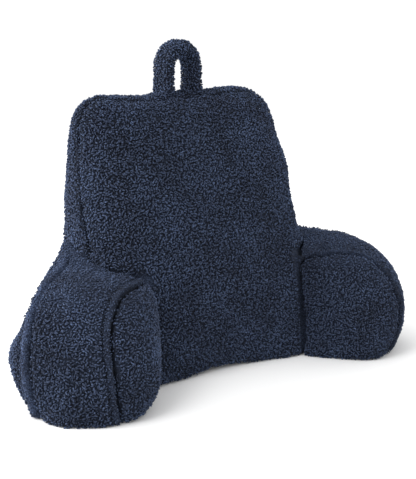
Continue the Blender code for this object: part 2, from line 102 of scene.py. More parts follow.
def fill_in(tree, node, inputs):
    """Fills in a node's inputs. One that is given another node's output is linked to it."""
    for key, value in inputs.items():
        if isinstance(value, bpy.types.NodeSocket):
            tree.links.new(value, node.inputs[key])
        else:
            node.inputs[key].default_value = value


def matt_surface(name, colour):
    """A plain colour without any gloss."""
    surface = bpy.data.materials.new(name)
    surface.use_nodes = True
    tree = surface.node_tree
    fill_in(tree, tree.nodes["Principled BSDF"],
            {"Base Color": colour, "Roughness": 1.0, "Specular IOR Level": 0.0})
    return surface


bpy.ops.object.select_all(action="DESELECT")
bpy.ops.mesh.primitive_plane_add(size=FLOOR_SIDE, location=(0, 0, 0))
floor = bpy.context.object
floor.name = "studio_floor"
floor.data.materials.append(matt_surface("studio_floor", FLOOR_COLOUR))
print("floor:", FLOOR_SIDE, "m wide")

# %% [markdown]
# ## The light
# The light comes from large soft boxes and a pale sky, so that no hard shadow falls. The
# strongest box stands low at the left and a little behind the pillow, because the picture is
# brightest along that edge. Another hangs high at the left, and the right side of the pillow
# falls off into shade. An area light shines along its own -Z, as a camera looks.

# %% Soft boxes and sky
SKY_COLOUR = (1.0, 1.0, 1.0, 1.0)
SKY_STRENGTH = 1.12
SOFT_BOXES = (  # name, place, point it shines at, size, watts
    ("key_box", (-1.7, -0.4, 2.4), (-0.05, 0.0, 0.25), 1.3, 32.0),
    ("side_box", (-2.3, 1.4, 0.9), (-0.1, 0.0, 0.2), 1.2, 82.0),
    ("rear_box", (1.4, 2.2, 1.9), (0.0, 0.0, 0.3), 1.6, 12.0),
    ("fill_box", (0.6, -2.3, 0.4), (0.0, 0.0, 0.1), 1.4, 7.0),
)


def add_soft_box(name, place, target, size, watts):
    """A square area light that shines from its place at its target."""
    data = bpy.data.lights.new(name, "AREA")
    data.shape = "SQUARE"
    data.size = size
    data.energy = watts
    box = bpy.data.objects.new(name, data)
    box.location = place
    box.rotation_euler = (Vector(target) - Vector(place)).to_track_quat("-Z", "Y").to_euler()
    bpy.context.scene.collection.objects.link(box)


def add_sky():
    """An even light from all round."""
    sky = bpy.data.worlds.new("pale_sky")
    sky.use_nodes = True
    tree = sky.node_tree
    fill_in(tree, tree.nodes["Background"], {"Color": SKY_COLOUR, "Strength": SKY_STRENGTH})
    bpy.context.scene.world = sky


for soft_box in SOFT_BOXES:
    add_soft_box(*soft_box)
add_sky()
bpy.context.scene.view_settings.view_transform = "Standard"
print("lights:", len(SOFT_BOXES), "soft boxes and a pale sky")

# %% [markdown]
# ## The cloth
# Curly pile is dyed one navy, but it never looks like one colour: the lying curls scatter a
# little bluish light at grazing angles, their roots are in the dark, and the nap is brushed one
# way here and another way there. So the colour is mixed from two noises on Object coordinates,
# a broad one for the brushed patches and a fine one for single curls. A number stored on the
# locks and on the backing paints light and shade into the colour: painted shade darkens the
# roots and the seams.

# %% The navy of the pile
NAVY_DEEP = (0.0170, 0.0215, 0.0380, 1.0)
NAVY_MIDDLE = (0.0440, 0.0610, 0.1130, 1.0)
NAVY_PALE = (0.0990, 0.1440, 0.2600, 1.0)
DEEP_AT = 0.36                 # where each navy lies on the ramp
MIDDLE_AT = 0.52
PALE_AT = 0.68
PATCH_SCALE = 14.0             # brushed patches of about 7 cm
CURL_SCALE = 420.0             # single curls of two or three millimetres
PATCH_SHARE = 0.25             # of the mix, the rest is the curls'


def add_node(tree, kind, inputs, **settings):
    """A new node with its settings and its inputs."""
    node = tree.nodes.new(kind)
    for name, value in settings.items():
        setattr(node, name, value)
    fill_in(tree, node, inputs)
    return node


def noise_at(tree, place, scale, detail):
    """A noise node's value. detail is how many finer noises are added to it."""
    node = add_node(tree, "ShaderNodeTexNoise",
                    {"Vector": place, "Scale": scale, "Detail": detail})
    return node.outputs["Fac"]


def navy_mix(tree, place):
    """The sum of a broad and a fine noise, turned into navy."""
    curls = noise_at(tree, place, CURL_SCALE, detail=1.0)
    patches = noise_at(tree, place, PATCH_SCALE, detail=2.0)
    curl_part = add_node(tree, "ShaderNodeMath", {0: curls, 1: 1.0 - PATCH_SHARE},
                         operation="MULTIPLY")
    mix = add_node(tree, "ShaderNodeMath",
                   {0: patches, 1: PATCH_SHARE, 2: curl_part.outputs[0]},
                   operation="MULTIPLY_ADD")
    ramp = add_node(tree, "ShaderNodeValToRGB", {"Fac": mix.outputs[0]})
    stops = ramp.color_ramp.elements
    stops[0].position = DEEP_AT
    stops[0].color = NAVY_DEEP
    stops[1].position = PALE_AT
    stops[1].color = NAVY_PALE
    stops.new(MIDDLE_AT).color = NAVY_MIDDLE
    return ramp.outputs["Color"]


def paint_shade(tree, colour, painted_root_share):
    """Paints shade into a colour, down to the root share of it where the painted lightness is 0.
    """
    painted_lightness = add_node(tree, "ShaderNodeAttribute", {}, attribute_name="painted_lightness")
    shade = add_node(tree, "ShaderNodeMapRange",
                     {"Value": painted_lightness.outputs["Fac"], "To Min": painted_root_share, "To Max": 1.0})
    dim = add_node(tree, "ShaderNodeMix",
                   {"Factor": 1.0, "A": colour, "B": shade.outputs["Result"]},
                   data_type="RGBA", blend_type="MULTIPLY")
    return dim.outputs["Result"]


print("navy from", NAVY_DEEP[:3], "to", NAVY_PALE[:3])

# %% [markdown]
# ## The two materials
# The woven backing and the locks on it are dyed alike, but the backing lies deeper in the pile
# and catches less light, so more shade is painted into its colour. Sheen stands for the loose
# fibre ends, and a very fine bump for single fibres, which are too thin to be modelled. Gloss is
# nearly off, since pile has none.

# %% Pile cloth materials
SHEEN_BLUE = (0.62, 0.74, 1.0, 1.0)
SHEEN_ROUGHNESS = 0.45
PILE_ROUGHNESS = 0.95
PILE_SPECULAR = 0.15
FIBRE_SCALE = 1500.0           # fibres well under a millimetre
FIBRE_BUMP = 0.7
FIBRE_DEPTH = 0.0010


def pile_cloth(name, sheen, painted_root_share):
    """Navy pile. The root share is the painted shade at a lock's root: how much of the colour is
    left there, against its tip.
    """
    cloth = bpy.data.materials.new(name)
    cloth.use_nodes = True
    tree = cloth.node_tree
    place = tree.nodes.new("ShaderNodeTexCoord").outputs["Object"]
    fibres = noise_at(tree, place, FIBRE_SCALE, detail=2.0)
    bump = add_node(tree, "ShaderNodeBump",
                    {"Strength": FIBRE_BUMP, "Distance": FIBRE_DEPTH, "Height": fibres})
    fill_in(tree, tree.nodes["Principled BSDF"], {
        "Base Color": paint_shade(tree, navy_mix(tree, place), painted_root_share),
        "Normal": bump.outputs["Normal"],
        "Roughness": PILE_ROUGHNESS,
        "Specular IOR Level": PILE_SPECULAR,
        "Sheen Weight": sheen,
        "Sheen Roughness": SHEEN_ROUGHNESS,
        "Sheen Tint": SHEEN_BLUE,
    })
    return cloth


backing_cloth = pile_cloth("pile_backing", sheen=0.05, painted_root_share=0.08)
lock_cloth = pile_cloth("pile_locks", sheen=0.10, painted_root_share=0.06)
print("materials:", backing_cloth.name, lock_cloth.name)

# %% [markdown]
# ## Filled shapes
# A filled cushion is a sewn skin under pressure. The recipe starts from the piece's own solid:
# a copy is drawn in by the depth of the pile, remeshed into even small squares, and blown up by
# Blender's Cloth with gravity off. Then it is smoothed, given its uneven filling and settled on
# the floor. By hand this would be Grab and Inflate strokes in sculpt mode. Here the points are
# moved in code, so that each run gives the same shape. First come small helpers that select an
# object or some of its points, apply a modifier, and read, write and search the points.

# %% Helpers for points
def only(piece):
    """Selects one object and makes it active."""
    bpy.ops.object.select_all(action="DESELECT")
    piece.select_set(True)
    bpy.context.view_layer.objects.active = piece


def edit_points(piece, chosen):
    """Opens a piece in edit mode, with the chosen points selected."""
    only(piece)
    bpy.ops.object.mode_set(mode="EDIT")
    bpy.ops.mesh.select_mode(type="VERT")
    bpy.ops.mesh.select_all(action="DESELECT")
    bpy.ops.object.mode_set(mode="OBJECT")
    piece.data.vertices.foreach_set("select", chosen)
    bpy.ops.object.mode_set(mode="EDIT")


def apply_modifier(piece, kind, **settings):
    """Adds a modifier to a piece, with its settings, and applies it."""
    only(piece)
    modifier = piece.modifiers.new(kind.lower(), kind)
    for name, value in settings.items():
        setattr(modifier, name, value)
    bpy.ops.object.modifier_apply(modifier=modifier.name)


def corners(mesh):
    """The mesh's points as rows of x, y, z."""
    flat = np.empty(len(mesh.vertices) * 3)
    mesh.vertices.foreach_get("co", flat)
    return flat.reshape(-1, 3)


def set_corners(mesh, places):
    mesh.vertices.foreach_set("co", places.ravel())
    mesh.update()


def point_normals(mesh):
    """The direction in which the surface looks at each point."""
    flat = np.empty(len(mesh.vertices) * 3)
    mesh.vertex_normals.foreach_get("vector", flat)
    return flat.reshape(-1, 3)


def near(points, places):
    """Distance from each place to the nearest of some points, and that point's number."""
    tree = kdtree.KDTree(len(points))
    for number, point in enumerate(points):
        tree.insert(point, number)
    tree.balance()
    found = [tree.find(place) for place in places]
    return np.array([f[2] for f in found]), np.array([f[1] for f in found])


for node, solid in sorted(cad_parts.items()):
    print(node, "comes with", len(corners(solid.data)), "points")

# %% [markdown]
# ## Which pieces are sewn together
# The arms and the loop are sewn to the back. A point is taken as sewn where it lies very close
# to a neighbour's solid, which Blender finds with closest_point_on_mesh. That is simpler than
# marking the points by hand, and it still holds when a solid is changed.

# %% Neighbours
NEIGHBOURS = {
    "back_cushion": ("arm_left", "arm_right", "handle_loop"),
    "arm_left": ("back_cushion",),
    "arm_right": ("back_cushion",),
    "handle_loop": ("back_cushion",),
}


def neighbour_solids(node):
    graph = bpy.context.evaluated_depsgraph_get()
    return [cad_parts[other].evaluated_get(graph) for other in NEIGHBOURS[node]]


def touches_neighbour(places, node, reach):
    """True where a place lies within reach of a neighbouring node's solid."""
    solids = neighbour_solids(node)
    return np.array([any(solid.closest_point_on_mesh(Vector(place), distance=reach)[0]
                         for solid in solids) for place in places])


print("neighbours:", {node: len(others) for node, others in NEIGHBOURS.items()})

# %% [markdown]
# ## The skin inside a solid
# The solids reach to the tops of the curls, and the real cloth lies a few millimetres deeper.
# So the skin is a copy of the solid, drawn in along its normals by Shrink/Fatten. Where it is
# sewn to a neighbour it stays in place. The Remesh modifier then gives it even squares, because
# the long triangles of a CAD solid would crumple under the Cloth, and Smooth relaxes the steps
# that the remesh leaves.

# %% Skin
PILE_DEPTH = 0.0040            # from the backing to the tops of the curls
PUFF = 0.0006                  # how much smaller the skin starts, for the air to fill
MERGE = 0.00001                # the solid's loose triangles share points this close
SEWN_REACH = 0.0015            # a point of a solid this close to a neighbour is sewn to it
FOOT_FLAT = 0.0005             # points of a solid this low stand on the floor
FOOT_RISE = 0.0015             # height of the backing there, over the flattened pile
RELAX_SHARE = 0.5
RELAX_ROUNDS = 3


def skin_copy(node, name, inset, reach_out):
    """A copy of a node's solid, drawn in by inset but for the points where it is sewn on.

    Those go down by reach_out instead."""
    skin = bpy.data.objects.new(name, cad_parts[node].data.copy())
    bpy.context.scene.collection.objects.link(skin)
    edit_points(skin, np.ones(len(skin.data.vertices), dtype=bool))
    bpy.ops.mesh.remove_doubles(threshold=MERGE)
    bpy.ops.object.mode_set(mode="OBJECT")
    sewn = touches_neighbour(corners(skin.data), node, SEWN_REACH)
    standing = corners(skin.data)[:, 2] < FOOT_FLAT
    edit_points(skin, ~sewn)
    bpy.ops.transform.shrink_fatten(value=-inset)
    bpy.ops.object.mode_set(mode="OBJECT")
    places = corners(skin.data)
    places[sewn, 2] -= reach_out
    places[standing, 2] = FOOT_RISE
    set_corners(skin.data, places)
    return skin


def even_squares(piece, size):
    """Rebuilds a piece from squares of one size and smooths the small steps that this leaves."""
    apply_modifier(piece, "REMESH", mode="VOXEL", voxel_size=size)
    apply_modifier(piece, "SMOOTH", factor=RELAX_SHARE, iterations=RELAX_ROUNDS)


print("the skin starts", round((PILE_DEPTH + PUFF) * 1000, 1), "mm inside its solid")

# %% [markdown]
# ## Air pressure
# Points that touch the floor or a neighbour, and those on a seam, are pinned, because the
# thread and the floor hold them. The Cloth modifier blows up the rest. Twenty frames are
# enough, and no point may travel further than a cap, so that the piece keeps its size. Then the
# modifier is applied, so that no Cloth is left on the piece.

# %% Blowing up
AIR_PRESSURE = 4.0
CLOTH_QUALITY = 4
FRAMES = 20
PUFF_CAP = 0.0050
HARDLY_MOVED = 1e-9            # keeps a division by zero away from pinned points


def blow_up(piece, held):
    """Cloth under air pressure for a few frames, then capped and applied."""
    before = corners(piece.data)
    group = piece.vertex_groups.new(name="held")
    group.add([int(k) for k in np.nonzero(held)[0]], 1.0, "REPLACE")
    only(piece)
    cloth = piece.modifiers.new("air", "CLOTH")
    cloth.settings.quality = CLOTH_QUALITY
    cloth.settings.vertex_group_mass = "held"
    cloth.settings.use_pressure = True
    cloth.settings.uniform_pressure_force = AIR_PRESSURE
    cloth.settings.effector_weights.gravity = 0.0
    cloth.collision_settings.use_collision = False
    scene = bpy.context.scene
    for number in range(1, FRAMES + 1):
        scene.frame_set(number)
    bpy.ops.object.modifier_apply(modifier=cloth.name)
    scene.frame_set(1)
    move = corners(piece.data) - before
    length = np.linalg.norm(move, axis=1)
    share = np.minimum(1.0, PUFF_CAP / np.maximum(length, HARDLY_MOVED))
    set_corners(piece.data, before + move * share[:, None])
    piece.vertex_groups.clear()
    return length


print("air:", AIR_PRESSURE, "for", FRAMES, "frames, capped at", PUFF_CAP * 1000, "mm")

# %% [markdown]
# ## Uneven filling
# Loose filling never lies evenly. So a few places are pushed out or in by some millimetres, as
# the picture shows them. Each push is a soft bell round its centre, like a wide Inflate stroke,
# and it goes along the normals. On the fuller side of a foot, the weight of the filling also
# presses the rounded edge flat onto the floor.

# %% Swelling and settling
SWELLS = {  # node: centre, reach, how much further the filling stands out
    "back_cushion": (
        ((-0.208, 0.126, 0.290), 0.075, 0.0042),
        ((0.184, 0.008, 0.340), 0.040, 0.0080),
        ((0.178, 0.030, 0.405), 0.018, -0.0030),
        ((0.190, -0.018, 0.265), 0.035, 0.0040),
        ((-0.010, -0.068, 0.008), 0.050, -0.0050),
        ((0.135, -0.078, 0.008), 0.030, 0.0060),
        ((-0.180, 0.076, 0.464), 0.032, 0.0060),
        ((0.160, -0.070, 0.145), 0.034, 0.0050),
        ((0.163, -0.062, 0.184), 0.024, 0.0070),
    ),
    "arm_left": (
        ((-0.396, -0.058, 0.056), 0.030, 0.0050),
        ((-0.345, -0.150, 0.010), 0.040, 0.0040),
        ((-0.368, -0.125, 0.006), 0.022, 0.0050),
        ((-0.387, -0.092, 0.011), 0.018, -0.0055),
        ((-0.395, -0.062, 0.037), 0.024, 0.0010),
        ((-0.396, -0.025, 0.096), 0.030, 0.0040),
        ((-0.223, -0.177, 0.043), 0.026, 0.0045),
    ),
    "arm_right": (
        ((0.178, -0.095, 0.008), 0.026, 0.0050),
        ((0.270, 0.000, 0.206), 0.050, 0.0030),
        ((0.298, -0.187, 0.075), 0.045, 0.0040),
        ((0.190, -0.115, 0.008), 0.035, 0.0050),
        ((0.162, -0.078, 0.145), 0.034, -0.0050),
        ((0.163, -0.068, 0.184), 0.024, -0.0060),
    ),
    "handle_loop": (
        ((0.0, 0.084, 0.544), 0.016, 0.0090),
        ((0.0, 0.084, 0.570), 0.040, 0.0020),
        ((0.0, 0.084, 0.500), 0.022, -0.0018),
    ),
}
SETTLE_HEIGHT = 0.026
SETTLE_DROP = 0.0085
SETTLES = {  # node: where its foot's edge starts to be pressed flat, and where fully, along X
    "back_cushion": (0.04, 0.12),
    "arm_left": (-0.27, -0.31),
    "arm_right": (0.28, 0.23),
}


def bell(distance, half):
    """1 at distance 0, about a third at half, and soon 0 beyond."""
    return np.exp(-(distance / half) ** 2)


def swell_out(piece, node):
    """Moves the points along their normals by the sum of all swells of a piece."""
    places = corners(piece.data)
    lift = np.zeros(len(places))
    for centre, reach, amount in SWELLS[node]:
        lift += amount * bell(np.linalg.norm(places - centre, axis=1), reach)
    set_corners(piece.data, places + point_normals(piece.data) * lift[:, None])


def settle(piece, node):
    """Presses the foot's rounded edge onto the floor."""
    places = corners(piece.data)
    start, full = SETTLES[node]
    low = np.clip(1.0 - places[:, 2] / SETTLE_HEIGHT, 0.0, 1.0)
    low *= np.clip((places[:, 0] - start) / (full - start), 0.0, 1.0)
    lowest = np.minimum(places[:, 2], FOOT_RISE)
    places[:, 2] = np.maximum(places[:, 2] - SETTLE_DROP * low, lowest)
    set_corners(piece.data, places)


print("swells:", {node: len(rows) for node, rows in SWELLS.items()})

# %% [markdown]
# ## Where an arm's seams run
# An arm is two panels joined all round by a band, so its two seams lie at nearly fixed
# distances to either side of the arm's own middle plane. They flare towards the root, swell at
# the nose and lean towards the lap at the foot. On a surface such a seam is the line where a
# simple measure changes sign, so each seam is written as a measure.

# %% Seams of the arms
ARM_SPLAY = math.radians(49.3)
ARM_ROOT_X = 0.152
ARM_ROOT_Y = 0.0502
ARM_LENGTH = 0.268
HALF_WIDTHS = (0.0640, 0.0675)     # from an arm's middle plane to its inner and its outer seam
ROOT_FLARES = (0.0, 0.0225)
TOP_FLARE = 0.022              # the inner seam's extra flare on top of the arm
TOP_START = 0.13               # height where the top begins
TOP_RUN = 0.06                 # and how much higher it is fully there
FLARE_POWER = 1.3
FOOT_LEANS = (0.018, 0.010)    # how far each seam leans towards the lap at the foot
LEAN_HEIGHT = 0.13
NOSE_START = 0.13              # place along the arm where the nose begins
NOSE_RUN = 0.09
NOSE_SWELL = 0.010
SWELL_HEIGHT = 0.085
SWELL_REACH = 0.075
PAST_END = 1.2                 # shares measured from an end may run a little past 1


def arm_measures(places, side):
    """Distance along an arm from its root, and sideways from its middle plane."""
    x = places[:, 0] * side - ARM_ROOT_X
    y = places[:, 1] - ARM_ROOT_Y
    along = x * math.sin(ARM_SPLAY) - y * math.cos(ARM_SPLAY)
    sideways = x * math.cos(ARM_SPLAY) + y * math.sin(ARM_SPLAY)
    return along, sideways


def arm_seam(side, panel):
    """Measure of an arm's seam: panel 0 is the inner one, 1 the outer. Positive on the band."""
    def measure(places):
        along, sideways = arm_measures(places, side)
        height = places[:, 2]
        nose = np.clip((along - NOSE_START) / NOSE_RUN, 0.0, 1.0)
        root = np.clip(1.0 - along / ARM_LENGTH, 0.0, PAST_END) ** FLARE_POWER
        top = np.clip((height - TOP_START) / TOP_RUN, 0.0, 1.0)
        flare = (ROOT_FLARES[panel] + TOP_FLARE * top * (1 - panel)) * root
        swell = NOSE_SWELL * bell(height - SWELL_HEIGHT, SWELL_REACH) * nose
        lean = FOOT_LEANS[panel] * np.clip(1.0 - height / LEAN_HEIGHT, 0.0, 1.0) * nose
        edge = HALF_WIDTHS[panel] + flare + swell + lean * (1 - 2 * panel)
        return edge + sideways * (1 - 2 * panel)
    return measure


print("an arm's band is", round(sum(HALF_WIDTHS) * 1000), "mm wide at least")

# %% [markdown]
# ## Where the back's seams run
# The back is made the same way: a front and a rear panel, joined by a band. It leans, so both
# seams move towards the rear with height. Low down the front panel wraps forward to meet the
# arms, and at the top corners it wraps backward.

# %% Seams of the back
BACK_HEIGHT = 0.471
BACK_LOW_Y = -0.0348
BACK_TOP_Y = 0.0582
BACK_HALF_WIDTH = 0.212
FOOT_WRAP = 0.036
FOOT_WRAP_HEIGHT = 0.287
FOOT_WRAP_POWER = 1.14
TOP_WRAP = 0.031
TOP_WRAP_POWER = 2.5
THICK_LOW = 0.220
THICK_TOP = 0.058


def back_lean(height):
    return BACK_LOW_Y + (BACK_TOP_Y - BACK_LOW_Y) * height / BACK_HEIGHT


def front_seam(places):
    x, y, z = places.T
    low = np.clip(1.0 - z / FOOT_WRAP_HEIGHT, 0.0, PAST_END) ** FOOT_WRAP_POWER
    forward = FOOT_WRAP * (x / BACK_HALF_WIDTH) ** 2 * low
    aside = np.clip(np.abs(x) / BACK_HALF_WIDTH, 0.0, 1.0) ** TOP_WRAP_POWER
    backward = TOP_WRAP * aside * (1.0 - np.minimum(low, 1.0))
    return y - (back_lean(z) - forward + backward)


def rear_seam(places):
    y, z = places[:, 1], places[:, 2]
    return back_lean(z) + THICK_LOW + (THICK_TOP - THICK_LOW) * z / BACK_HEIGHT - y


SEAMS = {
    "back_cushion": {"front": front_seam, "rear": rear_seam},
    "arm_left": {"inner": arm_seam(-1, 0), "outer": arm_seam(-1, 1)},
    "arm_right": {"inner": arm_seam(1, 0), "outer": arm_seam(1, 1)},
    "handle_loop": {},
}
print("seams:", {node: list(kinds) for node, kinds in SEAMS.items()})

# %% [markdown]
# ## Finding a seam on a mesh
# A seam's points are read off the edges of the mesh that it crosses. They pin the cloth for the
# air pressure, and later draw the seams in and thin the pile beside them. A groove is narrower
# than the squares, so the squares close to a seam are split once more. By hand this would be
# Subdivide on selected points.

# %% Points of a seam
SEAM_LOWEST = 0.004            # the seams end just above the floor
FINE_REACH = 0.010             # the squares this close to a seam are split once more


def seam_points(mesh, measure):
    """Points where a measure changes sign along the mesh's edges, above the floor."""
    places = corners(mesh)
    value = measure(places)
    ends = np.empty(len(mesh.edges) * 2, dtype=int)
    mesh.edges.foreach_get("vertices", ends)
    one, two = ends.reshape(-1, 2).T
    crossed = value[one] * value[two] < 0
    one, two = one[crossed], two[crossed]
    share = (value[one] / (value[one] - value[two]))[:, None]
    points = places[one] * (1.0 - share) + places[two] * share
    return points[points[:, 2] > SEAM_LOWEST]


def close_to_seam(piece, node, reach):
    """True for each point of a piece that lies within reach of one of its seams."""
    places = corners(piece.data)
    close = np.zeros(len(places), dtype=bool)
    for measure in SEAMS[node].values():
        distance, _ = near(seam_points(piece.data, measure), places)
        close |= distance < reach
    return close


def split_near(piece, node):
    """Splits the squares close to the seams once more."""
    edit_points(piece, close_to_seam(piece, node, FINE_REACH))
    bpy.ops.mesh.subdivide(number_cuts=1, smoothness=0.0)
    bpy.ops.mesh.select_all(action="DESELECT")
    bpy.ops.object.mode_set(mode="OBJECT")
    bpy.ops.object.shade_smooth()


rough_seam = seam_points(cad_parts["arm_left"].data, SEAMS["arm_left"]["inner"])
print("the left arm's inner seam crosses", len(rough_seam), "edges of its solid")

# %% [markdown]
# ## Two kinds of skin
# The back and the arms are large and soft, so their skins are blown up between the places where
# they are held. The loop is a narrow padded strap, so it gets a finer remesh and no pressure:
# its solid is already as round as the real one. Its legs go down through the pile of the back.

# %% Skins
VOXEL = 0.0084
LOOP_VOXEL = 0.0042
TOUCH = 0.010                  # a point this close to a neighbour is held
FLOOR_HOLD = 0.010             # and so is a point this close to the floor
SEAM_HOLD = 0.8                # and one this share of a square from a seam
LEG_REACH = 0.0035             # how far the loop's legs go down
STRAP_INSET = 0.0022           # the narrow strap shrinks in the remesh, so it starts larger


def pressed_skin(node, name):
    """The skin of a large piece, blown up between its seams."""
    skin = skin_copy(node, name, PILE_DEPTH + PUFF, 0.0)
    even_squares(skin, VOXEL)
    places = corners(skin.data)
    held = touches_neighbour(places, node, TOUCH) | (places[:, 2] < FLOOR_HOLD)
    held |= close_to_seam(skin, node, VOXEL * SEAM_HOLD)
    length = blow_up(skin, held)
    print(name, "moved by up to", round(float(length.max()) * 1000, 1), "mm before the cap")
    return skin


def strap_skin(node, name):
    """The skin of the loop."""
    skin = skin_copy(node, name, STRAP_INSET, LEG_REACH)
    even_squares(skin, LOOP_VOXEL)
    return skin


skins = {
    "back_cushion": pressed_skin("back_cushion", "back_filled"),
    "arm_left": pressed_skin("arm_left", "arm_left_filled"),
    "arm_right": pressed_skin("arm_right", "arm_right_filled"),
    "handle_loop": strap_skin("handle_loop", "loop_filled"),
}
print("skins:", {node: len(skin.data.vertices) for node, skin in skins.items()}, "points")

# %% [markdown]
# ## From skin to filled piece
# One subdivision smooths a skin, and then it gets its uneven filling. Its depth inside the
# solid is measured, because the pile that grows on it must end where the solid ends.

# %% Filled pieces
SAMPLE_STEP = 37               # every 37th point is measured


def under_solid(piece, node):
    """How far a piece lies inside its solid, in words."""
    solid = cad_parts[node].evaluated_get(bpy.context.evaluated_depsgraph_get())
    depths = []
    for place in corners(piece.data)[::SAMPLE_STEP]:
        _, spot, normal, _ = solid.closest_point_on_mesh(Vector(place))
        depths.append((spot - Vector(place)).dot(normal) * 1000)
    least, middle, most = (round(float(d), 1) for d in np.percentile(depths, (5, 50, 95)))
    return f"lies {least} to {most} mm deep, mostly {middle}"


def triangle_count(piece):
    return sum(len(p.vertices) - 2 for p in piece.data.polygons)


def filled_piece(skin, node):
    """Finishes a skin. Only a piece with seams has a foot to settle and squares to split."""
    apply_modifier(skin, "SUBSURF", levels=1, render_levels=1)
    bpy.ops.object.shade_smooth()
    swell_out(skin, node)
    if SEAMS[node]:
        settle(skin, node)
        split_near(skin, node)
    print(skin.name, "backing:", triangle_count(skin), "triangles,", under_solid(skin, node))
    return skin


filled_pieces = {node: filled_piece(skin, node) for node, skin in skins.items()}

# %% [markdown]
# ## How a seam looks
# Thread pulls the cloth into a narrow groove. On the band side of an arm's seam the allowance
# is stitched down again, which raises a smooth strip between two lines. Between the stitches
# the cloth gathers, so little puckers run square to the seam. In a few places, where an arm
# meets the back, the gathers are much deeper. And behind, an arm's outer seam is lost where the
# arm runs into the side of the back.

# %% Measures of the seams
# groove depth, strip middle, strip half, strip height, second line, its depth, its half
STRIPS = {
    "inner": (0.0095, 0.0082, 0.0052, 0.0030, 0.0148, 0.0026, 0.0020),
    "outer": (0.0070, 0.0115, 0.0065, 0.0044, 0.0215, 0.0090, 0.0034),
    "front": (0.0044, 0.0, 0.004, 0.0, 0.012, 0.0, 0.003),
    "rear": (0.0024, 0.0, 0.004, 0.0, 0.012, 0.0, 0.003),
}
GATHERS = (  # places of the deep gathers on the left half, their reach, and how much deeper
    ((-0.221, 0.034, 0.240), 0.018, 2.4),
    ((-0.218, 0.037, 0.270), 0.016, 1.8),
    ((-0.217, 0.042, 0.296), 0.014, 1.4),
    ((-0.213, -0.094, 0.194), 0.020, 1.4),
)
SEAM_LOST_Z = 0.218            # an arm's outer seam has run out up here
SEAM_FADE = 0.02
NOISE_SHIFTS = (13.7, 7.1, 3.3)    # how far each seed moves the noise, along X, Y and Z


def uneven(points, length, seed):
    """Smooth noise from -1 to 1, with bumps about as long as length."""
    offset = Vector([seed * shift for shift in NOISE_SHIFTS])
    return np.array([noise.noise(Vector(p) / length + offset) for p in points])


def gathered(places):
    """How much deeper a seam is drawn in at each place, the same on both halves."""
    more = np.zeros(len(places))
    folded = np.column_stack((-np.abs(places[:, 0]), places[:, 1:]))
    for centre, reach, extra in GATHERS:
        more += extra * bell(np.linalg.norm(folded - centre, axis=1), reach)
    return more


def seam_share(kind, places):
    """1 where a seam shows, 0 where an arm's outer seam is lost in the side of the back."""
    if kind != "outer":
        return np.ones(len(places))
    return np.clip((SEAM_LOST_Z - places[:, 2]) / SEAM_FADE, 0.0, 1.0)


print("seam kinds:", sorted(STRIPS))

# %% [markdown]
# ## Drawing in the seams
# By hand this is a Crease stroke along each seam. Here each point is moved along its normal by
# an amount that depends on its distance to the seam: in by a narrow bell on the line itself,
# out by a wider one on the strip. The puckers are a noise that is read at the nearest seam
# point, which makes it constant across the seam and uneven along it.

# %% Seams
GROOVE_HALF = 0.0034
GROOVE_WIDER = 0.15            # a groove twice as deep is this much wider
DEPTH_UNEVEN = 0.55
PUCKER_LENGTH = 0.011
PUCKER_REACH = 0.017
PUCKER_HEIGHT = 0.0034
PUCKER_FINER = 0.8             # length of the puckers against that of the uneven depth
PUCKER_MOST = 2.0              # gathers raise the puckers by this much at most
LINE_UNEVEN = 0.4
DEPTH_SEED = 3
PUCKER_SEED = 5


def draw_in(piece, measure, kind):
    """Grooves a seam into a piece. Returns each point's distance to it, its side, its pucker."""
    depth, middle, half, height, line, line_depth, line_half = STRIPS[kind]
    places = corners(piece.data)
    points = seam_points(piece.data, measure)
    distance, nearest = near(points, places)
    on_band = measure(places) > 0
    share = seam_share(kind, places)
    deeper = 1.0 + DEPTH_UNEVEN * uneven(points, PUCKER_LENGTH, DEPTH_SEED) + gathered(points)
    deeper = deeper[nearest]
    wavy = uneven(points, PUCKER_LENGTH * PUCKER_FINER, PUCKER_SEED)[nearest]
    wide = GROOVE_HALF * (1.0 + GROOVE_WIDER * (deeper - 1.0))
    lift = -(depth * share) * deeper * bell(distance, wide)
    beside = bell(distance, PUCKER_REACH) * (1.0 - bell(distance, GROOVE_HALF))
    lift += PUCKER_HEIGHT * wavy * beside * np.minimum(deeper, PUCKER_MOST)
    lift += on_band * (height * share) * bell(distance - middle, half)
    second = (line_depth * share) * (1.0 + LINE_UNEVEN * wavy)
    lift -= on_band * second * bell(distance - line, line_half)
    set_corners(piece.data, places + point_normals(piece.data) * lift[:, None])
    return distance, on_band, wavy


seam_maps = {}
for node, piece in filled_pieces.items():
    seam_maps[node] = {kind: draw_in(piece, measure, kind)
                       for kind, measure in SEAMS[node].items()}
    print(node, "seams drawn in:", list(seam_maps[node]))

# %% [markdown]
# ## Rolling the edges into the creases
# Where an arm is sewn against the back, both fillings push the cloth into a deep fold. So each
# piece is drawn in a little near its neighbour on the lap side. Behind and on top, where an arm
# runs smoothly into the side of the back, the valley is filled up a little instead. Points that
# the neighbour covers are remembered, because no pile grows there. They are found by a ray cast
# along the point's normal.

# %% Creases
CREASE_DEPTH = 0.0036
CREASE_HALF = 0.0054
CREASE_LOST_Z = 0.190          # above this the fold on the lap side runs out as well
CREASE_FADE = 0.012
LAP_BLEND = 0.03               # width of the change from the lap side to the outside
JOIN_REACH = 0.021
FILL_HEIGHT = 0.0040           # where pieces blend, the valley beside the join is filled by this
FILL_PLACE = 0.0070
FILL_HALF = 0.0080
LOOK_AHEAD = 0.0018            # in a fold, a point is hidden if its normal meets a solid so soon
LOOK_CLOSE = 0.0008            # and this soon where the pieces blend


def fold_share(places):
    """1 on the lap side of a join, 0 behind, outside and near the top of an arm."""
    lap = np.clip(0.5 - front_seam(places) / LAP_BLEND, 0.0, 1.0)
    return lap * np.clip(1.0 - (places[:, 2] - CREASE_LOST_Z) / CREASE_FADE, 0.0, 1.0)


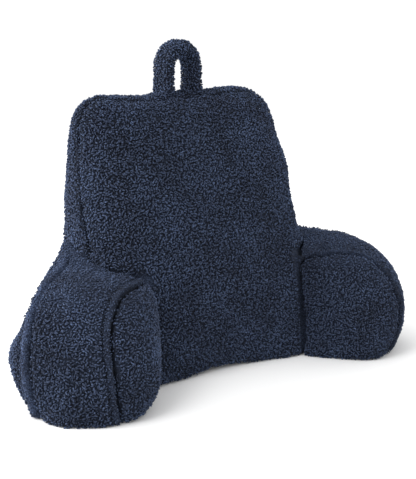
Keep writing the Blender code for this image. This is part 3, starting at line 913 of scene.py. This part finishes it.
def neighbour_distance(places, normals, look, node):
    """Distance to the nearest neighbouring solid, and whether that solid covers the point."""
    solids = neighbour_solids(node)
    result = np.full(len(places), JOIN_REACH)
    hidden = np.zeros(len(places), dtype=bool)
    for number, place in enumerate(places):
        spot = Vector(place)
        ahead = Vector(normals[number])
        for solid in solids:
            found, hit, _, _ = solid.closest_point_on_mesh(spot, distance=JOIN_REACH)
            if found:
                result[number] = min(result[number], (hit - spot).length)
                hidden[number] |= solid.ray_cast(spot, ahead, distance=look[number])[0]
    return result, hidden


def roll_into_crease(piece, node):
    """Draws a piece into its folds. Returns how far each point is from a neighbour, and hidden."""
    places = corners(piece.data)
    normals = point_normals(piece.data)
    fold = fold_share(places)
    look = LOOK_CLOSE + (LOOK_AHEAD - LOOK_CLOSE) * fold
    distance, hidden = neighbour_distance(places, normals, look, node)
    if node != "handle_loop":
        lift = -CREASE_DEPTH * fold * bell(distance, CREASE_HALF)
        lift += FILL_HEIGHT * (1.0 - fold) * bell(distance - FILL_PLACE, FILL_HALF)
        places += normals * lift[:, None]
        places[:, 2] = np.maximum(places[:, 2], FOOT_RISE)
        set_corners(piece.data, places)
    return distance, hidden


joins = {node: roll_into_crease(piece, node) for node, piece in filled_pieces.items()}
for node, (_, hidden) in joins.items():
    print(node, "has", int(hidden.sum()), "points under a neighbour")

# %% [markdown]
# ## One lock of pile
# A lock is a fat little curl that leaves the backing, leans over and lies on its neighbours. It
# starts as a four-sided ball laid on its side, stretched, and bent by moving its rings of points.
# A few different curls are enough, because each copy is turned and sized at random. Each keeps
# a number from 0 at the root to 1 at the tip, which the material uses to paint shade at the
# root. It has only sixteen triangles, because it is repeated so often.

# %% Model the locks
LOCK_LENGTH = 0.0056
LOCK_WIDTH = 0.0028
LOCK_HEIGHT = 0.0038
LOCK_AHEAD = 0.20              # its middle lies this share of its length ahead of its root
LOCK_CLEAR = 0.28              # and this share of its height over the backing
DARK_BELOW = 0.0005            # painted shade is darkest this far under the backing
DARK_TO_PALE = 0.0042          # and gone this much higher
LOCKS = (  # name, sideways bend, rise of the middle, tip height
    ("lock_plain", 0.0000, 0.0009, 0.0008),
    ("lock_left", 0.0020, 0.0007, 0.0003),
    ("lock_right", -0.0020, 0.0008, 0.0005),
    ("lock_hook", 0.0028, 0.0012, -0.0002),
)


def model_lock(name, bend, rise, tip_height):
    """A ball of four sides, laid along X, stretched and bent, with its tip at the far end."""
    bpy.ops.object.select_all(action="DESELECT")
    bpy.ops.mesh.primitive_uv_sphere_add(segments=4, ring_count=3, radius=0.5)
    lock = bpy.context.object
    lock.name = name
    bpy.ops.object.mode_set(mode="EDIT")
    bpy.ops.mesh.select_all(action="SELECT")
    bpy.ops.transform.rotate(value=math.radians(90), orient_axis="Y", center_override=(0, 0, 0))
    bpy.ops.transform.resize(value=(LOCK_LENGTH, LOCK_WIDTH, LOCK_HEIGHT))
    bpy.ops.object.mode_set(mode="OBJECT")
    places = corners(lock.data)
    share = (places[:, 0] - places[:, 0].min()) / LOCK_LENGTH
    arch = 4.0 * share * (1.0 - share)   # 0 at both ends and 1 in the middle
    places[:, 0] += LOCK_LENGTH * LOCK_AHEAD
    places[:, 1] += bend * (share ** 2)
    places[:, 2] += rise * arch + tip_height * share + LOCK_HEIGHT * LOCK_CLEAR
    set_corners(lock.data, places)
    # painted shade: the lock's colour darkens from its top down to its root
    pale = np.clip((places[:, 2] + DARK_BELOW) / DARK_TO_PALE, 0.0, 1.0)
    painted_lightness = lock.data.attributes.new("painted_lightness", "FLOAT", "POINT")
    painted_lightness.data.foreach_set("value", pale.astype(np.float32))
    lock.data.materials.append(lock_cloth)
    bpy.ops.object.shade_smooth()
    return lock


lock_box = bpy.data.collections.new("lock_models")
bpy.context.scene.collection.children.link(lock_box)
lock_models = [model_lock(*lock_row) for lock_row in LOCKS]
for model in lock_models:
    for holder in list(model.users_collection):
        holder.objects.unlink(model)
    lock_box.objects.link(model)
print("locks:", len(lock_models), "of", len(lock_models[0].data.vertices), "points")

# %% [markdown]
# ## The lie of the pile
# The locks are spread by Geometry Nodes, as grass is spread on a meadow. The nap leans down the
# pillow and is stirred by a broad noise, which gives the brushed patches. Each lock is stood on
# the surface, turned along the nap and then turned and tilted a little at random, because no
# two curls lie alike.

# %% Nodes that turn a lock
NAP_SCALE = 16.0
NAP_STIR = 5.5
NAP_DOWN = -0.55
WAVER = (0.40, 0.40, 2.00)     # radians, about X, Y and Z
SEED_STEP = 17                 # each pile has its own seeds, this far apart


def read_number(tree, name):
    """A number that is stored on the points of the mesh."""
    node = add_node(tree, "GeometryNodeInputNamedAttribute", {"Name": name}, data_type="FLOAT")
    return node.outputs["Attribute"]


def chance(tree, low, high, seed, kind="FLOAT"):
    """A random value for each lock."""
    node = add_node(tree, "FunctionNodeRandomValue", {"Min": low, "Max": high, "Seed": seed},
                    data_type=kind)
    return node.outputs["Value"]


def nap_direction(tree):
    """Where the nap leans: down, stirred by a noise whose middle value is 0.5."""
    stir = add_node(tree, "ShaderNodeTexNoise", {"Scale": NAP_SCALE, "Detail": 1.0})
    centre = add_node(tree, "ShaderNodeVectorMath",
                      {0: stir.outputs["Color"], 1: (0.5, 0.5, 0.5)}, operation="SUBTRACT")
    lean = add_node(tree, "ShaderNodeVectorMath",
                    {0: centre.outputs[0], 1: [NAP_STIR] * 3, 2: (0.0, 0.0, NAP_DOWN)},
                    operation="MULTIPLY_ADD")
    return lean.outputs[0]


def turned_lock(tree, normal, seed):
    """Rotation of a lock that stands on the surface and lies along the nap, with some waver."""
    stand = add_node(tree, "FunctionNodeAlignRotationToVector", {"Vector": normal}, axis="Z")
    along = add_node(tree, "FunctionNodeAlignRotationToVector",
                     {"Rotation": stand.outputs[0], "Vector": nap_direction(tree)},
                     axis="X", pivot_axis="Z")
    back_and_forth = chance(tree, [-w for w in WAVER], WAVER, seed, "FLOAT_VECTOR")
    waver = add_node(tree, "FunctionNodeRotateRotation",
                     {"Rotation": along.outputs[0], "Rotate By": back_and_forth},
                     rotation_space="LOCAL")
    return waver.outputs[0]


print("the nap is stirred about every", round(100 / NAP_SCALE), "cm")

# %% [markdown]
# ## Spreading the locks
# Points are spread over the backing no closer than a set distance, so that no two locks share
# a place. Each point gets one of the locks at random, in a random size, and the copies are made
# real. Where a number named cover is low, fewer points are kept.

# %% Nodes that spread the locks
DENSITY = 4.0                  # points tried in a square of the spacing, before the thinning
LOCK_SIZES = (0.74, 1.26)


def spread_points(tree, mesh, spacing, seed, pick):
    """Points on the mesh, or only where the number named by pick is 1."""
    points = add_node(tree, "GeometryNodeDistributePointsOnFaces", {
        "Mesh": mesh,
        "Distance Min": spacing,
        "Density Max": DENSITY / spacing ** 2,
        "Density Factor": read_number(tree, "cover"),
        "Seed": seed,
    }, distribute_method="POISSON")
    if pick:
        chosen = add_node(tree, "FunctionNodeCompare", {0: read_number(tree, pick), 1: 0.5},
                          data_type="FLOAT", operation="GREATER_THAN")
        fill_in(tree, points, {"Selection": chosen.outputs[0]})
    return points


def scatter_tree(name, spacing, seed, pick):
    """Nodes that put a turned and sized lock on each point and make the copies real."""
    tree = bpy.data.node_groups.new(name, "GeometryNodeTree")
    for way in ("INPUT", "OUTPUT"):
        tree.interface.new_socket("Geometry", in_out=way, socket_type="NodeSocketGeometry")
    start = tree.nodes.new("NodeGroupInput")
    points = spread_points(tree, start.outputs[0], spacing, seed, pick)
    first = seed * SEED_STEP
    models = add_node(tree, "GeometryNodeCollectionInfo", {
        "Collection": lock_box, "Separate Children": True, "Reset Children": True})
    size = add_node(tree, "ShaderNodeMath", {
        0: read_number(tree, "length"), 1: chance(tree, *LOCK_SIZES, first + 2)},
        operation="MULTIPLY")
    place = add_node(tree, "GeometryNodeInstanceOnPoints", {
        "Points": points.outputs["Points"],
        "Instance": models.outputs[0],
        "Pick Instance": True,
        "Instance Index": chance(tree, 0, len(LOCKS) - 1, first + 3, "INT"),
        "Rotation": turned_lock(tree, points.outputs["Normal"], first + 1),
        "Scale": size.outputs[0],
    })
    real = add_node(tree, "GeometryNodeRealizeInstances", {0: place.outputs[0]})
    add_node(tree, "NodeGroupOutput", {0: real.outputs[0]})
    return tree


print("locks come in sizes from", LOCK_SIZES[0], "to", LOCK_SIZES[1])

# %% [markdown]
# ## A sheet of pile
# A pile is a piece of its own: a copy of the backing carries the nodes as a modifier, and
# applying it leaves the locks alone. Locks that would reach through the floor are pressed flat
# on it. A pile can be kept to one part of a piece, so that no mesh grows too large. The rear
# panel is the largest part, so its spacing is a little wider.

# %% Sheet of pile
SPACING = 0.0033
REAR_SPACING = 0.0037
PILE_LOWEST = 0.0004


def cover_with(piece, cloth):
    """Gives a piece one material in place of those it came with."""
    piece.data.materials.clear()
    piece.data.materials.append(cloth)


def spread_pile(base, name, seed, pick=None, spacing=SPACING):
    """A new piece that holds the locks of a filled piece, or of the part of it named by pick."""
    pile = bpy.data.objects.new(name, base.data.copy())
    bpy.context.scene.collection.objects.link(pile)
    apply_modifier(pile, "NODES", node_group=scatter_tree(name, spacing, seed, pick))
    places = corners(pile.data)
    places[:, 2] = np.maximum(places[:, 2], PILE_LOWEST)
    set_corners(pile.data, places)
    cover_with(pile, lock_cloth)
    print(name, "pile:", triangle_count(pile), "triangles")
    return pile


print("spacing:", SPACING * 1000, "mm, and", REAR_SPACING * 1000, "mm at the rear")

# %% [markdown]
# ## Where the pile is thin
# Three numbers are stored at each point of a filled piece. Cover is 0 on a seam line and in a
# fold, so that the backing shows there. Length is smaller beside a seam and on the raised strips,
# which look smooth for that reason. The third holds painted light and shade: how bright the
# backing is painted between the locks, with painted shade on the seam lines and painted light
# on the strips, on the arms and in the folds. The functions below change the three rows of
# numbers in place.

# %% Pile beside the seams
# bare half of the line, how ragged, bare half of the second line, how much shorter on the
# strip, and how much painted light its backing gets
PILE_AT_SEAMS = {
    "inner": (0.0034, 1.0, 0.0009, 0.30, 0.08),
    "outer": (0.0034, 0.4, 0.0030, 0.35, 0.90),
    "front": (0.0016, 0.4, 0.0, 0.0, 0.0),
    "rear": (0.0022, 0.4, 0.0, 0.0, 0.0),
}
GATHER_BARE = 0.9              # how much wider gathers make the bare line
SEAM_SHORT = 0.34              # how much shorter the pile is on the line
GATHER_SHORT = 0.25
SHORT_MOST = 0.7
SEAM_SHORT_HALF = 0.0045
# half width of the painted shade on a seam line
SEAM_PAINTED_SHADE_HALF = 0.0024
STRIP_WIDER = 1.3              # the pile is short a little beyond the strip
LINE_SHORT = 0.35
LINE_SHORT_HALF = 0.0025
# half width of the painted shade on the second line
LINE_PAINTED_SHADE_HALF = 0.0020


def thin_on_strip(kind, distance, shown_band, cover, length, painted_lightness):
    """On an arm's band: the strip beside the seam and the line behind it."""
    _, middle, half, _, line, _, _ = STRIPS[kind]
    _, _, line_bare, shorter, strip_painted_light = PILE_AT_SEAMS[kind]
    cover[(shown_band > 0.5) & (np.abs(distance - line) < line_bare)] = 0.0
    strip = shown_band * bell(distance - middle, STRIP_WIDER * half)
    length *= 1.0 - shorter * strip
    # painted light: the raised strip's backing is painted brighter
    painted_lightness += strip_painted_light * strip
    length *= 1.0 - shown_band * LINE_SHORT * bell(distance - line, LINE_SHORT_HALF)
    # painted shade on the second line
    painted_lightness *= 1.0 - shown_band * bell(distance - line, LINE_PAINTED_SHADE_HALF)


def thin_at_seam(kind, seam_map, places, cover, length, painted_lightness):
    """Bares the seam line, shortens the pile beside it and paints shade on the backing there."""
    distance, on_band, wavy = seam_map
    bare, ragged = PILE_AT_SEAMS[kind][:2]
    share = seam_share(kind, places)
    more = gathered(places)
    cover[(distance < bare * (1.0 + ragged * wavy + GATHER_BARE * more)) & (share > 0.5)] = 0.0
    shorter = np.minimum(SEAM_SHORT + GATHER_SHORT * more, SHORT_MOST)
    length *= 1.0 - shorter * share * bell(distance, SEAM_SHORT_HALF)
    if kind in ("inner", "outer"):
        thin_on_strip(kind, distance, on_band * share, cover, length, painted_lightness)
    # painted shade on the seam line, wider where the gathers are deeper
    painted_lightness *= 1.0 - bell(distance, SEAM_PAINTED_SHADE_HALF * (1.0 + more))


print("bare seam lines:", {kind: row[0] for kind, row in PILE_AT_SEAMS.items()})

# %% [markdown]
# ## Pile in the folds, on the arms and underneath
# In a fold the pile ends before it meets the neighbour's, and is shorter beside that, and the
# bare backing there is painted lighter, as painted light against its shade. On top of an arm it
# is combed flat, so it is shorter and looks smoother, and the backing of an arm, most of all on
# its top, is painted brighter as painted light. Under the foot it is pressed flat and thinner,
# and it never shows.

# %% Pile everywhere else
BETWEEN_PAINTED_LIGHTNESS = 0.10             # painted shade: how bright the backing is painted between the locks
ARM_PAINTED_LIGHT = 0.06                 # painted light: how much brighter the backing is painted on an arm
ARM_TOP_PAINTED_LIGHT = 0.30             # and on top of it, also painted light
ARM_TOP_SHORT = 0.15
ARM_TOP_START = 0.165
ARM_TOP_RUN = 0.04
CREASE_BARE = 0.0060           # the pile ends this far before a neighbour in a fold
FOLD_SHORT = 0.35
FOLD_SHORT_HALF = 0.0050
# painted light on the bare backing in a fold, and its half width
FOLD_PAINTED_LIGHT = 0.24
FOLD_PAINTED_LIGHT_HALF = 0.0060
UNDER_HEIGHT = 0.02            # the underside's pile lies below this
UNDER_FADE = 0.01
UNDER_SLOPE = 0.8              # and its normals point down at least this much
UNDER_SLOPE_FADE = 0.15
UNDER_SHORT = 0.45
UNDER_THIN = 0.5


def thin_in_fold(node, places, cover, length, painted_lightness):
    """Bares the points under a neighbour and the bottom of the folds."""
    distance, hidden = joins[node]
    cover[hidden] = 0.0
    if node != "handle_loop":
        fold = fold_share(places)
        cover[(distance < CREASE_BARE) & (fold > 0.5)] = 0.0
        length *= 1.0 - FOLD_SHORT * fold * bell(distance, FOLD_SHORT_HALF)
        # painted light: the backing at the bottom of a fold is painted lighter against its shade
        painted_lightness += FOLD_PAINTED_LIGHT * fold * bell(distance, FOLD_PAINTED_LIGHT_HALF)


def store(piece, name, values):
    """Keeps a number at each point of a piece, for the nodes to read."""
    field = piece.data.attributes.new(name, "FLOAT", "POINT")
    field.data.foreach_set("value", values.astype(np.float32))


def pile_fields(piece, node):
    """Stores how dense and long the pile is at each point, and how bright its backing is painted,
    as painted light and shade.
    """
    places = corners(piece.data)
    cover = np.ones(len(places))
    length = np.ones(len(places))
    # painted shade: the backing between the locks is painted dark
    painted_lightness = np.full(len(places), BETWEEN_PAINTED_LIGHTNESS)
    if node.startswith("arm"):
        flat = np.clip((places[:, 2] - ARM_TOP_START) / ARM_TOP_RUN, 0.0, 1.0)
        length *= 1.0 - ARM_TOP_SHORT * flat
        # painted light: the backing of an arm is painted brighter, most of all on its top
        painted_lightness += ARM_PAINTED_LIGHT + ARM_TOP_PAINTED_LIGHT * flat
    for kind, seam_map in seam_maps[node].items():
        thin_at_seam(kind, seam_map, places, cover, length, painted_lightness)
    thin_in_fold(node, places, cover, length, painted_lightness)
    down = -point_normals(piece.data)[:, 2]
    under = np.clip((down - UNDER_SLOPE) / UNDER_SLOPE_FADE, 0.0, 1.0)
    under *= np.clip((UNDER_HEIGHT - places[:, 2]) / UNDER_FADE, 0.0, 1.0)
    length *= 1.0 - UNDER_SHORT * under
    cover *= 1.0 - UNDER_THIN * under
    store(piece, "cover", cover)
    store(piece, "length", length)
    store(piece, "painted_lightness", np.clip(painted_lightness, 0.0, 1.0))
    return cover


for node, piece in filled_pieces.items():
    cover = pile_fields(piece, node)
    cover_with(piece, backing_cloth)
    print(node, "is bare at", int((cover == 0).sum()), "of", len(cover), "points")

# %% [markdown]
# ## The pile, piece by piece
# The back takes three sheets of pile, split at its seams, and the other pieces one each. The
# lock models have done their work after that and are removed.

# %% Spread the pile
back = filled_pieces["back_cushion"]
back_places = corners(back.data)
is_front = front_seam(back_places) < 0
is_rear = rear_seam(back_places) < 0
store(back, "front_part", is_front)
store(back, "rear_part", is_rear)
store(back, "band_part", ~(is_front | is_rear))
piles = {
    "back_cushion": [spread_pile(back, "back_pile_front", 1, "front_part"),
                     spread_pile(back, "back_pile_band", 2, "band_part"),
                     spread_pile(back, "back_pile_rear", 6, "rear_part", REAR_SPACING)],
    "arm_left": [spread_pile(filled_pieces["arm_left"], "arm_left_pile", 3)],
    "arm_right": [spread_pile(filled_pieces["arm_right"], "arm_right_pile", 4)],
    "handle_loop": [spread_pile(filled_pieces["handle_loop"], "loop_pile", 5)],
}
for model in lock_models:
    bpy.data.objects.remove(model, do_unlink=True)
bpy.data.collections.remove(lock_box)

# %% [markdown]
# ## Fitting the pieces to the frame
# Every piece rides on the part's one body, and the solid of the node it stands for is hidden.

for node, filled in filled_pieces.items():
    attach(filled, "root")
    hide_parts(node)
    for pile in piles[node]:
        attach(pile, "root")
        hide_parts(node)
    print(filled.name, "and", len(piles[node]), "of pile stand for", node)
